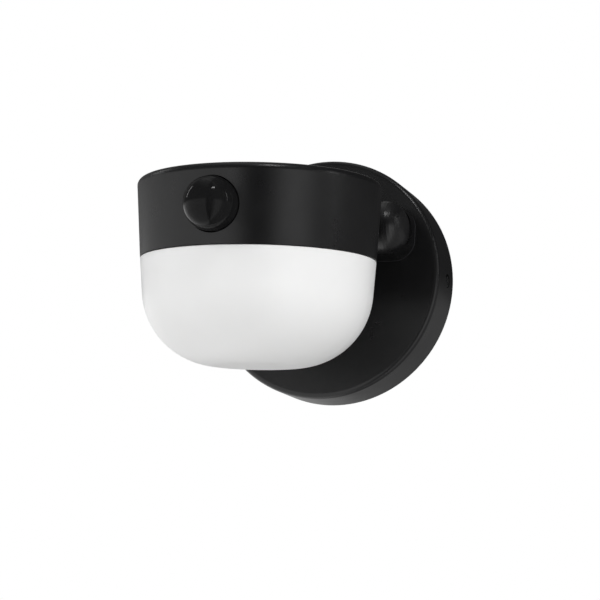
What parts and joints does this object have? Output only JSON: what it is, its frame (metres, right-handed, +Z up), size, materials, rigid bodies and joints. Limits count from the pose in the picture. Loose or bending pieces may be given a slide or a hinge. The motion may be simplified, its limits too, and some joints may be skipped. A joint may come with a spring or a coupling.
{
  "type": "security floodlight",
  "caption": "Round wall floodlight with a camera dome in its dark band, a milky bowl diffuser below, and a friction hinge that tilts the head on a round canopy.",
  "frame": {"origin": "centre of the canopy's back face, on the wall plane", "axes": "+Y into the wall, +Z up, +X to the right when facing the wall; the light stands out towards -Y"},
  "size_m": [0.118, 0.1738, 0.118],
  "materials": {
    "satin_black": "die-cast aluminium with a satin powder coat, near black",
    "black_plastic": "moulded plastic, near black",
    "milky_diffuser": "opal polycarbonate, semi-gloss",
    "dome_smoke": "smoked polycarbonate, polished",
    "lens_glass": "coated glass",
    "gasket_rubber": "matt silicone rubber, dark grey",
    "clear_silicone": "matt silicone rubber, off-white",
    "zinc_steel": "zinc plated, bright",
    "black_screw": "black oxide",
    "green_screw": "green passivated",
    "acetal": "natural acetal, off-white",
    "aluminium": "machined",
    "white_board": "white solder mask",
    "green_board": "green solder mask",
    "led_phosphor": "yellow phosphor in a white package",
    "winding_tape": "yellow winding tape and ferrite",
    "capacitor_sleeve": "dark blue sleeve",
    "cable_sheath": "grey PVC sheath",
    "terminal_nylon": "ivory nylon",
    "chip_black": "black epoxy",
    "shield_can": "tin plated",
    "infrared_epoxy": "dark red-black epoxy",
    "sensor_epoxy": "clear epoxy over a pale chip"
  },
  "bodies": {
    "wall_mount": {"canopy": "satin_black", "wall_gasket": "gasket_rubber", "crossbar": "zinc_steel", "ground_screw": "green_screw", "side_screws": "black_screw", "hinge_post_left": "satin_black", "hinge_post_right": "satin_black", "post_gaskets": "gasket_rubber", "post_screws": "zinc_steel", "pivot_bolt": "zinc_steel", "pivot_nut": "zinc_steel", "friction_washers": "acetal", "spring_washer": "zinc_steel", "pivot_caps": "black_plastic", "terminal_block": "terminal_nylon", "terminal_screws": "zinc_steel", "wire_grommet": "gasket_rubber", "canopy_cable": "cable_sheath"},
    "head": {"housing": "satin_black", "tilt_arm": "satin_black", "arm_gasket": "gasket_rubber", "arm_screws": "zinc_steel", "head_cable": "cable_sheath", "diffuser": "milky_diffuser", "diffuser_seal": "clear_silicone", "led_plate": "aluminium", "led_board": "white_board", "leds": "led_phosphor", "plate_screws": "zinc_steel", "driver_board": "green_board", "transformer": "winding_tape", "capacitors": "capacitor_sleeve", "driver_connector": "terminal_nylon", "dome_cover": "dome_smoke", "dome_seal": "gasket_rubber", "dome_retainer": "black_plastic", "camera_mask": "black_plastic", "camera_barrel": "black_plastic", "camera_lens": "lens_glass", "image_board": "green_board", "infrared_leds": "infrared_epoxy", "light_sensor": "sensor_epoxy", "main_board": "green_board", "processor": "chip_black", "wifi_module": "shield_can", "reset_switch": "shield_can"},
    "reset_button": {"reset_button": "black_plastic"}
  },
  "joints": [
    {"name": "head_tilt", "type": "hinge", "parent": "wall_mount", "child": "head", "pos_m": [0, -0.0376, 0.0203], "axis": [1, 0, 0], "range_deg": [-35, 15]},
    {"name": "button_press", "type": "slide", "parent": "head", "child": "reset_button", "axis": [0.7431, -0.6672, -0.0513], "range_m": [0, 0.0008], "stiffness_N_per_m": 600, "springref_m": -0.0006}
  ]
}
